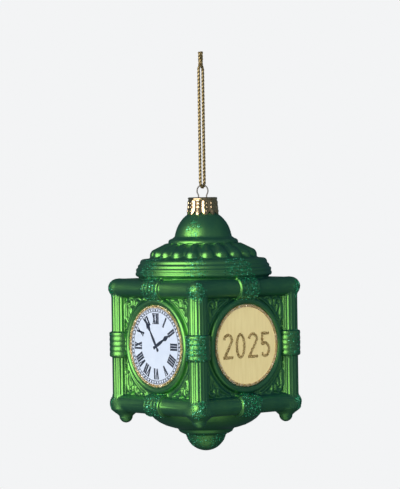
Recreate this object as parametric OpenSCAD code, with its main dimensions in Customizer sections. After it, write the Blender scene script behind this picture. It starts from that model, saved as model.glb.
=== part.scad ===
// Hanging glass ornament in the shape of a four-faced street clock.
// The frame's origin is where the cord loop bears on whatever holds it up, and everything hangs below it.
// Two faces (front and back, -Y and +Y) carry a clock dial, and two (right and left) carry a gold number disc.

/* [Clock case] */
// Half-width of the case, from its axis to a panel
panel_reach = 27; // [24:0.5:33]
// Height of the middle of the bottom rail above the finial's tip
low_rail_z = 22.3; // [20:0.1:26]
// Height from the middle of the bottom rail to the middle of the top rail
rail_rise = 53; // [46:0.5:64]
// Thickness of the blown glass wall
wall = 1; // [0.8:0.1:1.5]

/* [Rails and posts] */
// Radius of the rails that frame each panel
rail_r = 4.05; // [3.4:0.05:4.8]
// How far a rail's centre line lies outside the panel
rail_out = 1.2; // [0.6:0.1:2]
// Radius of the corner posts
post_r = 4.5; // [3.8:0.1:5.2]
// How far a post's centre lies outside the panels
post_out = 0.2; // [0:0.1:1]
// Radius of the collar halfway up each post
post_collar_r = 5.6; // [5.2:0.1:6.5]
// Radius of the collar at the middle of each rail
rail_collar_r = 5.2; // [4.8:0.1:5.8]
// Length of every collar
collar_l = 11.6; // [8:0.2:14]
// Number of ribs on a collar
ribs = 5; // [3:1:7]
// Height of a foot below the rail's centre line
foot_drop = 9.2; // [7:0.1:11]

/* [Faces] */
// Outer radius of the raised bezel round each face
bezel_r = 21.8; // [19:0.1:22.5]
// Width of the bezel's rounded rim
bezel_w = 3; // [2:0.1:4]
// How far the dial's seat stands out from the panel
seat_out = 1.8; // [1:0.1:2.5]
// Thickness of the dial and of the number disc
disc_t = 0.3; // [0.2:0.05:0.6]
// Width of the glitter ring on the edge of each disc
ring_w = 0.9; // [0.7:0.1:1.6]
// Thickness of printed ink
ink_t = 0.08; // [0.05:0.01:0.15]
// Height of the glitter numbers
digit_h = 11.4; // [7:0.2:13]
// Thickness of a layer of glitter
glitter_t = 0.25; // [0.15:0.05:0.4]

/* [Roof and base] */
// Radius of the roof's lowest ring
roof_r = 31.6; // [28:0.1:36]
// Number of lobes in the ring of gadroons
gadroons = 20; // [12:1:28]
// Radius of the bowl under the case
bowl_r = 26.6; // [23:0.1:32]
// Radius of the finial's knob
knob_r = 8.8; // [7:0.1:10]

/* [Neck, cap and hanger] */
// Outer radius of the glass neck
neck_r = 6.25; // [5.2:0.05:7.2]
// Length of the straight neck inside the cap
neck_l = 8.4; // [6:0.1:10]
// Gap between the neck and the cap around it
cap_fit = 0.3; // [0.2:0.05:0.5]
// Thickness of the cap's sheet metal
cap_t = 0.35; // [0.25:0.05:0.5]
// Number of scallops round the cap's skirt
scallops = 12; // [6:1:16]
// Diameter of the hanger wire
wire_d = 0.6; // [0.5:0.05:0.9]
// Radius of the wire's loop, on its centre line
loop_r = 2.7; // [2.4:0.05:3.2]
// Distance between the wire's legs in the cap, on centre lines
leg_gap = 4; // [3.6:0.1:4.4]
// Clearance round a leg in its hole
leg_fit = 0.08; // [0.03:0.01:0.1]
// How far each leg reaches below the top of the cap
leg_l = 22; // [16:0.5:28]
// Angle of the wire loop's plane from the X axis
loop_turn = 27; // [0:1:90]

/* [Cord] */
// Diameter of the twisted cord
cord_d = 1.2; // [0.8:0.1:1.4]
// Radius of the knot that closes the cord loop
knot_r = 1.9; // [1.6:0.1:2.5]
// Length of the cut tails above the knot
tail_l = 4; // [2:0.5:8]

/* [Hidden] */
$fn = 64;
tiny = 0.01;
rib_h = 0.35;
corner_r = rail_r + 0.3;
gadroon_r = 2.6;

// Heights above the finial's tip
top_rail_z = low_rail_z + rail_rise;
face_z = (low_rail_z + top_rail_z) / 2 + 0.6;
case_z0 = low_rail_z - 2.8;
case_z1 = top_rail_z + 4.2;
roof_z = top_rail_z + 4.7;
neck_z = roof_z + 27.6;
neck_top = neck_z + neck_l;
cap_top = neck_top + 0.3 + cap_t;
rail_reach = panel_reach + rail_out;
post_reach = panel_reach + post_out;
foot_reach = post_reach - 1.1;
seat_y = panel_reach + seat_out;
disc_r = bezel_r - bezel_w - 0.3;
bore_r = neck_r - wall - 0.3;

// The wire: a round loop, a short reverse bend on each side, then straight legs that splay below the cap
leg_x = leg_gap / 2;
bend_r = 1.5;
bend_x = leg_x + bend_r;
bend_drop = sqrt(pow(loop_r + bend_r, 2) - pow(bend_x, 2));
bend_a = atan2(bend_drop, bend_x);
leg_top = cap_top + 0.6;
loop_z = leg_top + bend_drop;
crown_z = loop_z + loop_r;
straight_l = 4.6;
splay_z = cap_top - straight_l;
splay_x = bore_r - wire_d / 2 - 0.3 - leg_x;
splay_l = leg_l - straight_l;

// Half of the cord's route, as [sideways, up] points: from under the wire's crown, up one strand, to the loop's top
half_route = [[0, -55.4], [0.9, -55.2], [1.7, -54.7], [2.2, -54], [2.4, -53], [2.4, -48], [2.4, -42], [2.4, -36],
              [2.4, -30], [2.4, -24], [2.4, -18], [2.4, -12], [2.4, -6], [2.4, -1.8], [2.2, -0.8], [1.7, -0.1],
              [0.9, 0.4], [0, 0.6]];
knot_z = 1.8;
// The bight cradles the crown of the wire, with this much air under it
crown_gap = 0.15;
lift = half_route[0][1] + cord_d / 2 + crown_gap + wire_d / 2 - crown_z;

// The dial's print: Roman numerals, the minute track and two spade hands
numeral_h = 4.9;
numeral_r = disc_r - 8.4;
thick = 0.9;
thin = 0.45;
numeral_texts = ["I", "II", "III", "IIII", "V", "VI", "VII", "VIII", "IX", "X", "XI", "XII"];
track_in = disc_r - 2.6;
track_out = disc_r - ring_w - 0.4;
hour_angle = 61;
minute_angle = -31;
hour_hand_l = disc_r - 7.1;
minute_hand_l = disc_r - 3.5;

// The glitter numbers
digit_w = 0.5 * digit_h;
digit_pitch = 0.65 * digit_h;
digit_stroke = 1.15;

// Everything but the cord is drawn standing on its finial, then hung
module hung() {
    translate([0, 0, lift]) children();
}

// Turns a piece drawn with +Z outwards and +Y up so that it lies on a face: 0 front, 90 right, 180 back, 270 left
module on_face(turn) {
    hung() rotate([0, 0, turn]) translate([0, -seat_y, face_z]) rotate([90, 0, 0]) children();
}

module at_corners(reach, z) {
    for (sx = [-1, 1], sy = [-1, 1]) translate([sx * reach, sy * reach, z]) children();
}

// A flat ribbon of width w along an open line of points
function side(p, q, w) = w / 2 * [p[1] - q[1], q[0] - p[0]] / norm(q - p);
function lean(pts, i, w) =
    let (a = max(i - 1, 0), b = min(i + 1, len(pts) - 1)) side(pts[a], pts[b], w);
function ribbon(pts, w) = concat(
    [for (i = [0 : len(pts) - 1]) pts[i] + lean(pts, i, w)],
    [for (i = [len(pts) - 1 : -1 : 0]) pts[i] - lean(pts, i, w)]);
function arc(c, rx, ry, from, to, steps) =
    [for (i = [0 : steps]) let (a = from + (to - from) * i / steps) [c[0] + rx * cos(a), c[1] + ry * sin(a)]];

// ---------------------------------------------------------------- glass body

// Outline of a ribbed collar, revolved about its own axis. Inset by i for the hollow inside
module collar(r, i) {
    pitch = collar_l / ribs;
    points = concat(
        [[0, -collar_l / 2 + i], [r - rib_h - i, -collar_l / 2 + i]],
        i > 0 ? [] : [for (k = [0 : ribs - 1]) let (z = -collar_l / 2 + k * pitch)
            each [[r, z + 0.25 * pitch], [r, z + 0.75 * pitch], [r - rib_h, z + pitch]]],
        i > 0 ? [[r - rib_h - i, collar_l / 2 - i]] : [],
        [[0, collar_l / 2 - i]]);
    rotate_extrude() polygon(points);
}

module rails(z, i) {
    for (turn = [0 : 90 : 270]) rotate([0, 0, turn]) translate([0, -rail_reach, z]) rotate([0, 90, 0]) {
        cylinder(r = rail_r - i, h = 2 * rail_reach, center = true);
        collar(rail_collar_r, i);
    }
    at_corners(rail_reach, z) sphere(r = corner_r - i);
}

module posts(i) {
    at_corners(post_reach, low_rail_z) cylinder(r = post_r - i, h = rail_rise);
    at_corners(post_reach, face_z) collar(post_collar_r, i);
}

// A tapering foot with a round tip, under each corner
module foot() {
    tip_r = 2;
    top_r = 4.7;
    tip = arc([0, tip_r - foot_drop], tip_r, tip_r, -90, -20, 5);
    rotate_extrude() polygon(concat(tip, [[2.8, 2.9 - foot_drop], [top_r, 5.7 - foot_drop], [top_r, 0], [0, 0]]));
}

// The raised bezel, with +Z outwards from the disc's seat
module bezel(i) {
    rim_r = bezel_r - bezel_w / 2;
    rim = arc([rim_r, -seat_out + 0.9], bezel_w / 2, seat_out + 0.2, 0, 144, 8);
    if (i > 0) translate([0, 0, -seat_out - 2]) cylinder(r = disc_r - i, h = seat_out + 2 - i);
    else rotate_extrude() polygon(concat([[0, -seat_out - 2], [bezel_r, -seat_out - 2]], rim, [[disc_r, 0], [0, 0]]));
}

// Roof outline: stepped rings, the seat of the gadroons, a step and the dome, up to the neck's top
function roof_points(i) = [
    [0, roof_z + i], [roof_r - 0.6 - i, roof_z + i], [roof_r - i, roof_z + 1 + i], [roof_r - i, roof_z + 2.6 - i],
    [roof_r - 0.9 - i, roof_z + 3.4 - i], [roof_r - 0.9 - i, roof_z + 4.8 - i], [roof_r - 1.8 - i, roof_z + 5.6 - i],
    [roof_r - 1.9 - i, roof_z + 7.4 - i], [roof_r - 3.2 - i, roof_z + 8.8 - i], [24.2 - i, roof_z + 9.6 - i],
    [22 - i, roof_z + 13 - i], [19.2 - i, roof_z + 14.8 - i], [16.4 - i, roof_z + 15.2 - i],
    [16.2 - i, roof_z + 16.8 - i], [15 - i, roof_z + 17.8 - i], [13.4 - i, roof_z + 18.6 - i],
    [12.9 - i, roof_z + 20.6 - i], [11.9 - i, roof_z + 23.2 - i], [10.2 - i, roof_z + 25.8 - i],
    [8.4 - i, roof_z + 27.4 - i]];

module roof(i) {
    bore = i > 0 ? [[bore_r, neck_z - i], [bore_r, neck_top + tiny], [0, neck_top + tiny]]
                 : [[neck_r, neck_z + 0.6], [neck_r, neck_top], [0, neck_top]];
    rotate_extrude() polygon(concat(roof_points(i), bore));
    translate([0, 0, case_z1 - 4]) cylinder(r = roof_r - 7 - i, h = 8);
}

// One rounded gadroon lobe: a round lower end, and a back that tapers into the slope of the roof
module gadroon() {
    low = [22, roof_z + 10.9];
    high = [17, roof_z + 13.2];
    slope = high - low;
    translate([low[0], 0, low[1]]) sphere(r = gadroon_r);
    translate([low[0], 0, low[1]]) rotate([0, atan2(slope[0], slope[1]), 0])
        cylinder(r1 = gadroon_r - 0.15, r2 = gadroon_r - 1.2, h = norm(slope));
}

// Bowl, step ring and knob under the case
function base_points(i) = concat(
    [[0, i]],
    arc([0, knob_r - 0.6], knob_r - i, knob_r - 0.6 - i, -75, -15, 6),
    [[9.5 - i, 6.7 + i], [11 - i, 7.4 + i], [12.5 - i, 8.7 + i], [12.9 - i, 9.9 + i]],
    arc([0, 19.6], bowl_r - 2.4 - i, 9.6 - i, -56, -14, 6),
    [[bowl_r - i, 17.6 + i], [bowl_r - i, case_z0 + 4], [0, case_z0 + 4]]);

module base(i) {
    rotate_extrude() polygon(base_points(i));
}

// The whole form, solid. With i above 0 it is the hollow inside the glass
module form(i) {
    translate([i - panel_reach, i - panel_reach, case_z0 + i])
        cube([2 * (panel_reach - i), 2 * (panel_reach - i), case_z1 - case_z0 - 2 * i]);
    rails(low_rail_z, i);
    rails(top_rail_z, i);
    posts(i);
    for (turn = [0 : 90 : 270]) rotate([0, 0, turn]) translate([0, -seat_y, face_z]) rotate([90, 0, 0]) bezel(i);
    roof(i);
    base(i);
}

module glass_body() {
    color("forestgreen") hung() difference() {
        union() {
            form(0);
            at_corners(foot_reach, low_rail_z) foot();
            for (k = [0 : gadroons - 1]) rotate([0, 0, 360 * k / gadroons]) gadroon();
        }
        form(wall);
    }
}

// ---------------------------------------------------------------- cap and hanger

module crown_cap() {
    top_r = neck_r + cap_fit + cap_t;
    skirt_r = top_r + 0.6;
    skirt_z = neck_z + 1;
    outer = [[0, cap_top], [top_r - 0.5, cap_top], [top_r, cap_top - 0.5], [top_r, cap_top - 3.4],
             [skirt_r, skirt_z]];
    inner = [[skirt_r - cap_t, skirt_z], [top_r - cap_t, cap_top - 3.4], [top_r - cap_t, cap_top - cap_t],
             [0, cap_top - cap_t]];
    notch_r = 0.7;
    color("goldenrod") hung() difference() {
        rotate_extrude() polygon(concat(outer, inner));
        for (k = [0 : scallops - 1]) rotate([0, 0, (k + 0.5) * 360 / scallops])
            translate([top_r - 2, 0, skirt_z]) rotate([0, 90, 0]) cylinder(r = notch_r, h = 5);
        rotate([0, 0, loop_turn]) for (s = [-1, 1])
            translate([s * leg_x, 0, cap_top - 2]) cylinder(r = wire_d / 2 + leg_fit, h = 4);
    }
}

module wire_arc(r, from, to) {
    rotate([90, 0, 0]) rotate([0, 0, from]) rotate_extrude(angle = to - from) translate([r, 0]) circle(d = wire_d);
}

// Each stretch of wire stops just short of its joint, where a bead of barely more than the wire's width takes over
module hanger_wire() {
    splay_a = atan2(splay_x, splay_l);
    bead = wire_d + 0.06;
    short_a = 1.5;
    short_l = 0.05;
    joint_x = loop_r * cos(bend_a);
    joint_z = loop_z - loop_r * sin(bend_a);
    color("silver") hung() rotate([0, 0, loop_turn]) {
        translate([0, 0, loop_z]) wire_arc(loop_r, short_a - bend_a, 180 + bend_a - short_a);
        for (flip = [0, 180]) rotate([0, 0, flip]) {
            translate([joint_x, 0, joint_z]) sphere(d = bead);
            translate([bend_x, 0, leg_top]) wire_arc(bend_r, 180 - bend_a + short_a, 180 - short_a);
            translate([leg_x, 0, leg_top]) sphere(d = bead);
            translate([leg_x, 0, splay_z + short_l]) cylinder(d = wire_d, h = leg_top - splay_z - 2 * short_l);
            translate([leg_x, 0, splay_z]) sphere(d = bead);
            translate([leg_x, 0, splay_z]) rotate([0, 180 - splay_a, 0]) translate([0, 0, short_l])
                cylinder(d = wire_d, h = norm([splay_x, splay_l]) - short_l);
        }
    }
}

// ---------------------------------------------------------------- cord

function in_plane(p) = [-p[0] * sin(loop_turn), p[0] * cos(loop_turn), p[1]];
way_back = [for (k = [len(half_route) - 2 : -1 : 1]) [-half_route[k][0], half_route[k][1]]];
cord_route = [for (p = concat(half_route, way_back)) in_plane(p)];

// A ring of a tube swept round a closed line of points that lies in one upright plane, whose normal is n
function tube_ring(pts, i, n, r, sides) =
    let (count = len(pts),
         t = pts[(i + 1) % count] - pts[(i + count - 1) % count],
         b = cross(n, t / norm(t)))
    [for (k = [0 : sides - 1]) let (a = 360 * k / sides) pts[i] + r * (cos(a) * n + sin(a) * b)];

module closed_tube(pts, n, r, sides) {
    count = len(pts);
    rings = [for (i = [0 : count - 1]) each tube_ring(pts, i, n, r, sides)];
    walls = [for (i = [0 : count - 1], k = [0 : sides - 1])
        let (a = i * sides, b = ((i + 1) % count) * sides, m = (k + 1) % sides)
        each [[a + k, a + m, b + m], [a + k, b + m, b + k]]];
    polyhedron(rings, walls);
}

module hang_cord() {
    color("darkgoldenrod") closed_tube(cord_route, [cos(loop_turn), sin(loop_turn), 0], cord_d / 2, 8);
}

module cord_knot() {
    color("darkgoldenrod") rotate([0, 0, loop_turn + 90]) {
        translate([0, 0, knot_z]) sphere(r = knot_r);
        for (s = [-1, 1]) translate([s * 0.7, 0, knot_z]) rotate([0, s * 10, 0])
            cylinder(d = cord_d, h = knot_r + tail_l);
    }
}

// ---------------------------------------------------------------- clock dials

module disc(c) {
    color(c) cylinder(r = disc_r, h = disc_t);
}

module dial_front() { on_face(0) disc("white"); }
module dial_back() { on_face(180) disc("white"); }

// Roman numerals are drawn standing on the origin, as strokes: "I", "V" and "X"
function stroke_w(c) = c == "I" ? 1.15 : 2.3;
function text_w(s, n) = n == 0 ? 0 : stroke_w(s[n - 1]) + text_w(s, n - 1);

module bar(from, to, w) {
    polygon(ribbon([from, to], w));
}

module stroke_letter(c) {
    serif = 0.22;
    h = numeral_h;
    if (c == "I") bar([0, 0], [0, h], thick);
    if (c == "V") {
        bar([-0.75, h], [0, 0.1], thick);
        bar([0.75, h], [0, 0.1], thin);
    }
    if (c == "X") {
        bar([-0.75, h], [0.75, 0], thick);
        bar([0.75, h], [-0.75, 0], thin);
    }
    reach = stroke_w(c) / 2 - 0.02;
    if (c != "V") translate([-reach, 0]) square([2 * reach, serif]);
    translate([-reach, h - serif]) square([2 * reach, serif]);
}

module numeral(s) {
    for (k = [0 : len(s) - 1])
        translate([text_w(s, k) + stroke_w(s[k]) / 2 - text_w(s, len(s)) / 2, 0]) stroke_letter(s[k]);
}

module numerals() {
    for (hour = [1 : 12]) rotate([0, 0, -30 * hour]) translate([0, numeral_r])
        linear_extrude(ink_t) numeral(numeral_texts[hour - 1]);
}

// Two fine rings with a dot between them at each minute
module minute_track() {
    line_w = 0.26;
    for (r = [track_in, track_out]) difference() {
        cylinder(r = r, h = ink_t);
        translate([0, 0, -tiny]) cylinder(r = r - line_w, h = ink_t + 2 * tiny);
    }
    for (minute = [0 : 59]) rotate([0, 0, -6 * minute]) translate([0, (track_in + track_out - line_w) / 2])
        cylinder(r = minute % 5 == 0 ? 0.42 : 0.36, h = ink_t, $fn = 16);
}

// A spade hand, drawn pointing up, with its half-widths along its length
module hand(l, w, h) {
    right = [[0.5 * w, -0.18 * l], [0.62 * w, -0.13 * l], [0.36 * w, -0.05 * l], [0.6 * w, 0.12 * l],
             [0.64 * w, 0.26 * l], [0.3 * w, 0.52 * l], [0.85 * w, 0.64 * l], [0.8 * w, 0.72 * l],
             [0.32 * w, 0.84 * l], [0, l]];
    left = [for (k = [len(right) - 2 : -1 : 0]) [-right[k][0], right[k][1]]];
    linear_extrude(h) polygon(concat(right, left));
}

module dial_print() {
    color("midnightblue") translate([0, 0, disc_t]) {
        numerals();
        minute_track();
        rotate([0, 0, -hour_angle]) hand(hour_hand_l, 1.3, ink_t);
        rotate([0, 0, -minute_angle]) hand(minute_hand_l, 1.15, ink_t);
        cylinder(r = 0.9, h = ink_t);
    }
}

module dial_print_front() { on_face(0) dial_print(); }
module dial_print_back() { on_face(180) dial_print(); }

// ---------------------------------------------------------------- number discs

module year_disc_right() { on_face(90) disc("palegoldenrod"); }
module year_disc_left() { on_face(270) disc("palegoldenrod"); }

module digit_0() {
    difference() {
        polygon(arc([0, digit_h / 2], digit_w / 2, digit_h / 2, 0, 352.5, 47));
        polygon(arc([0, digit_h / 2], digit_w / 2 - digit_stroke, digit_h / 2 - digit_stroke, 0, 352.5, 47));
    }
}

module digit_2() {
    r = digit_w / 2 - digit_stroke / 2;
    bowl = arc([0, digit_h - digit_stroke / 2 - r], r, r, 175, -35, 14);
    polygon(ribbon(concat(bowl, [[-r, digit_stroke / 2]]), digit_stroke));
    translate([-digit_w / 2, 0]) square([digit_w, digit_stroke]);
}

module digit_5() {
    r = digit_w / 2 - digit_stroke / 2;
    bowl_y = 0.31 * digit_h;
    polygon(ribbon(arc([0, bowl_y], r, bowl_y - digit_stroke / 2, 130, -145, 18), digit_stroke));
    translate([-r, 0.48 * digit_h]) square([digit_stroke, 0.52 * digit_h]);
    translate([-r, digit_h - digit_stroke]) square([digit_w - digit_stroke, digit_stroke]);
}

module year_numerals() {
    color("gold") translate([-1.5 * digit_pitch, -digit_h / 2, disc_t]) linear_extrude(glitter_t) {
        digit_2();
        translate([digit_pitch, 0]) digit_0();
        translate([2 * digit_pitch, 0]) digit_2();
        translate([3 * digit_pitch, 0]) digit_5();
    }
}

module year_numerals_right() { on_face(90) year_numerals(); }
module year_numerals_left() { on_face(270) year_numerals(); }

// ---------------------------------------------------------------- glitter

// A half-round band of glitter on the edge of a disc
module glitter_ring() {
    color("peru") translate([0, 0, disc_t]) rotate_extrude() intersection() {
        translate([disc_r - ring_w / 2, 0]) circle(d = ring_w);
        square([disc_r, ring_w]);
    }
}

module glitter_ring_front() { on_face(0) glitter_ring(); }
module glitter_ring_back() { on_face(180) glitter_ring(); }
module glitter_ring_right() { on_face(90) glitter_ring(); }
module glitter_ring_left() { on_face(270) glitter_ring(); }

// A thin sleeve round a collar
module sleeve(r) {
    difference() {
        cylinder(r = r + glitter_t, h = collar_l - 0.8, center = true);
        cylinder(r = r, h = collar_l, center = true);
    }
}

// Cuts away what would lie inside the case, its roof or its bezels
module outside_case() {
    reach = panel_reach + 0.6;
    clear = 0.3;
    difference() {
        children();
        translate([-reach, -reach, -10]) cube([2 * reach, 2 * reach, case_z1 + 20]);
        translate([0, 0, roof_z - clear]) cylinder(r = roof_r + clear, h = 20);
        for (turn = [0, 90]) rotate([0, 0, turn]) translate([0, 0, face_z]) rotate([90, 0, 0])
            cylinder(r = bezel_r + clear, h = 2 * (seat_y + 1.4), center = true);
    }
}

module post_collar_glitter() {
    color("teal") hung() outside_case() at_corners(post_reach, face_z) sleeve(post_collar_r);
}

module rail_glitter(z) {
    color("teal") hung() outside_case() for (turn = [0 : 90 : 270]) rotate([0, 0, turn])
        translate([0, -rail_reach, z]) rotate([0, 90, 0]) sleeve(rail_collar_r);
}

module top_rail_glitter() { rail_glitter(top_rail_z); }
module bottom_rail_glitter() { rail_glitter(low_rail_z); }

// A round patch on the outward side of each corner ball
module corner_glitter(z) {
    patch_r = 2.6;
    color("teal") hung() for (turn = [45 : 90 : 315]) rotate([0, 0, turn]) translate([rail_reach * sqrt(2), 0, z])
        intersection() {
            difference() {
                sphere(r = corner_r + glitter_t);
                sphere(r = corner_r);
            }
            rotate([0, 90, 0]) cylinder(r = patch_r, h = 2 * corner_r);
        }
}

module top_corner_glitter() { corner_glitter(top_rail_z); }
module bottom_corner_glitter() { corner_glitter(low_rail_z); }

// Patches on the roof's rings: the outline grown by the glitter, over a few short turns
module roof_glitter() {
    band = [for (k = [3 : 6]) roof_points(0)[k]];
    grown = [for (k = [3 : -1 : 0]) band[k] + [glitter_t, 0]];
    color("teal") hung() for (turn = [-118, -70, -8, 62, 118, 172]) rotate([0, 0, turn])
        rotate_extrude(angle = 16) polygon(concat(band, grown));
}

// Spots on the dome
module dome_glitter() {
    band = [for (k = [16 : 18]) roof_points(0)[k]];
    grown = [for (k = [2 : -1 : 0]) band[k] + [glitter_t, 0]];
    color("teal") hung() for (turn = [-75, 45, 165]) rotate([0, 0, turn])
        rotate_extrude(angle = 26) polygon(concat(band, grown));
}

// A band round the finial's knob
module finial_glitter() {
    band = [for (k = [3 : 6]) base_points(0)[k]];
    grown = [for (k = [3 : -1 : 0]) band[k] + [glitter_t, -tiny]];
    color("teal") hung() rotate_extrude() polygon(concat(band, grown));
}

glass_body();
crown_cap();
hanger_wire();
hang_cord();
cord_knot();
dial_front();
dial_back();
dial_print_front();
dial_print_back();
year_disc_right();
year_disc_left();
year_numerals_right();
year_numerals_left();
glitter_ring_front();
glitter_ring_back();
glitter_ring_right();
glitter_ring_left();
post_collar_glitter();
top_rail_glitter();
bottom_rail_glitter();
top_corner_glitter();
bottom_corner_glitter();
roof_glitter();
dome_glitter();
finial_glitter();
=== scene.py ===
import logging
import math
from dataclasses import dataclass, field
from enum import Enum
from typing import Any, Callable, Sequence

import bpy
import numpy as np
import openvdb
from mathutils import Matrix, Vector


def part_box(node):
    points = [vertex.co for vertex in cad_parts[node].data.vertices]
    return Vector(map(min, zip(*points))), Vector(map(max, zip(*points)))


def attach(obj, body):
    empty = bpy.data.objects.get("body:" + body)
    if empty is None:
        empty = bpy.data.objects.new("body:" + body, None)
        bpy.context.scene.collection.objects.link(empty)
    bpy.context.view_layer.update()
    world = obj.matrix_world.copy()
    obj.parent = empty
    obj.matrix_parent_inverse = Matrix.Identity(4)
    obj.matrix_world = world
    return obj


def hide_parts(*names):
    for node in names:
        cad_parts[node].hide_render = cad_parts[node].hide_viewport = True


log = logging.getLogger("ornament")
logging.basicConfig(level=logging.INFO, format="%(name)s: %(message)s")

MM = 0.001
FULL_TURN = 2 * math.pi
FAR = 99.0


# ---------------------------------------------------------------- colour and nodes


def linear(code: str) -> tuple[float, float, float, float]:
    """Turns an sRGB hex colour into linear RGBA.

    Args:
        code: the colour as #RRGGBB.

    Returns:
        The colour as four linear values, with full alpha.
    """
    parts = [int(code[i : i + 2], 16) / 255 for i in (1, 3, 5)]
    red, green, blue = (c / 12.92 if c <= 0.04045 else ((c + 0.055) / 1.055) ** 2.4 for c in parts)
    return red, green, blue, 1.0


def add_node(
    tree: bpy.types.NodeTree,
    kind: str,
    inputs: dict[str | int, Any] | None = None,
    stops: Sequence[tuple[float, str]] = (),
    **settings: Any,
) -> bpy.types.Node:
    """Adds a node with its settings and links.

    Args:
        tree: the node tree to add to.
        kind: the node's type name.
        inputs: values for the node's inputs, by name or place. A socket is linked, the rest is set.
        stops: places along the node's colour ramp and their colours, where it has one.
        settings: the node's own properties.

    Returns:
        The new node.
    """
    node = tree.nodes.new(kind)
    for name, value in settings.items():
        setattr(node, name, value)
    for name, value in (inputs or {}).items():
        if isinstance(value, bpy.types.NodeSocket):
            tree.links.new(value, node.inputs[name])
        else:
            node.inputs[name].default_value = value
    if stops:
        elements = node.color_ramp.elements
        while len(elements) < len(stops):
            elements.new(0.5)
        for element, (place, code) in zip(elements, stops):
            element.position = place
            element.color = linear(code)
    return node


def mottle(tree: bpy.types.NodeTree, size_mm: float, detail: float = 2.0) -> bpy.types.NodeSocket:
    """Adds an uneven pattern on the piece's own coordinates, whose features have a real size.

    Args:
        tree: the material's tree.
        size_mm: the size of a feature, in millimetres.
        detail: how many finer layers it has.

    Returns:
        The pattern's value socket.
    """
    place = add_node(tree, "ShaderNodeTexCoord").outputs["Object"]
    scale = 1 / (size_mm * MM)
    made = add_node(tree, "ShaderNodeTexNoise", {"Vector": place, "Scale": scale, "Detail": detail})
    return made.outputs["Fac"]


# ---------------------------------------------------------------- finishes


@dataclass(frozen=True)
class Recipe:
    """What every finish shares: a named material of one shader, whose inputs the finish gives."""

    name: str

    def inputs(self, tree: bpy.types.NodeTree) -> dict[str, Any]:
        """Returns the shader's inputs, after adding the nodes that they come from to the tree."""
        return {}

    def shader(self, tree: bpy.types.NodeTree) -> bpy.types.Node:
        """Adds the finish's shader to the tree and returns it."""
        return add_node(tree, "ShaderNodeBsdfPrincipled", self.inputs(tree))

    def make(self) -> bpy.types.Material:
        """Builds the material.

        Returns:
            The material.
        """
        material = bpy.data.materials.new(self.name)
        material.use_nodes = True
        tree = material.node_tree
        tree.nodes.clear()
        surface = self.shader(tree).outputs[0]
        add_node(tree, "ShaderNodeOutputMaterial", {"Surface": surface})
        return material


@dataclass(frozen=True)
class SatinLacquer(Recipe):
    """Translucent green lacquer on silvered, mould-blown glass: a soft metallic glow."""

    name: str = "satin_green_lacquer_on_silvered_glass"
    light: str = "#72B942"
    deep: str = "#60AA3C"
    edge: str = "#3E7A6C"
    haze: str = "#205468"
    haze_share: float = 0.2
    cloud_mm: float = 9.0
    ripple_mm: float = 2.5
    ripple_depth_mm: float = 0.05

    def inputs(self, tree: bpy.types.NodeTree) -> dict[str, Any]:
        """Clouds the lacquer's colour and gloss, and ripples the glass under it.

        Args:
            tree: the material's tree.

        Returns:
            The shader's inputs.
        """
        cloud = {"Fac": mottle(tree, self.cloud_mm)}
        stops = ((0.3, self.deep), (0.7, self.light))
        gloss = {"Value": mottle(tree, self.cloud_mm / 2), "To Min": 0.33, "To Max": 0.43}
        height = mottle(tree, self.ripple_mm)
        ripple = {"Height": height, "Strength": 0.12, "Distance": self.ripple_depth_mm * MM}
        return {
            "Base Color": add_node(tree, "ShaderNodeValToRGB", cloud, stops).outputs["Color"],
            "Metallic": 1.0,
            "Roughness": add_node(tree, "ShaderNodeMapRange", gloss).outputs["Result"],
            "Specular Tint": linear(self.edge),
            "Normal": add_node(tree, "ShaderNodeBump", ripple).outputs["Normal"],
            "Coat Weight": 1.0,
            "Coat Roughness": 0.4,
        }

    def shader(self, tree: bpy.types.NodeTree) -> bpy.types.Node:
        """Lays a thin matt haze over the glossy lacquer.

        Args:
            tree: the material's tree.

        Returns:
            The node that mixes the two.
        """
        gloss = super().shader(tree).outputs[0]
        haze = add_node(tree, "ShaderNodeBsdfDiffuse", {"Color": linear(self.haze)}).outputs[0]
        return add_node(tree, "ShaderNodeMixShader", {0: self.haze_share, 1: gloss, 2: haze})


@dataclass(frozen=True)
class StampedGold(Recipe):
    """Bright gold-plated sheet, stamped thin: hard warm reflections with dark lows."""

    name: str = "stamped_gold_plated_sheet"
    face: str = "#F0CEA2"
    low: str = "#966C40"
    wear_mm: float = 0.8

    def inputs(self, tree: bpy.types.NodeTree) -> dict[str, Any]:
        """Darkens the plating in small worn patches.

        Args:
            tree: the material's tree.

        Returns:
            The shader's inputs.
        """
        wear = {"Fac": mottle(tree, self.wear_mm, 3.0)}
        stops = ((0.25, self.low), (0.5, self.face))
        colour = add_node(tree, "ShaderNodeValToRGB", wear, stops).outputs["Color"]
        return {"Base Color": colour, "Metallic": 1.0, "Roughness": 0.17}


@dataclass(frozen=True)
class DrawnWire(Recipe):
    """Drawn steel wire: a grey metal with a bright line along it."""

    name: str = "drawn_steel_wire"
    colour: str = "#77716A"
    scuff_mm: float = 0.4

    def inputs(self, tree: bpy.types.NodeTree) -> dict[str, Any]:
        """Varies the gloss a little, as the die leaves it.

        Args:
            tree: the material's tree.

        Returns:
            The shader's inputs.
        """
        scuff = {"Value": mottle(tree, self.scuff_mm), "To Min": 0.2, "To Max": 0.4}
        rough = add_node(tree, "ShaderNodeMapRange", scuff).outputs["Result"]
        return {"Base Color": linear(self.colour), "Metallic": 1.0, "Roughness": rough}


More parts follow.
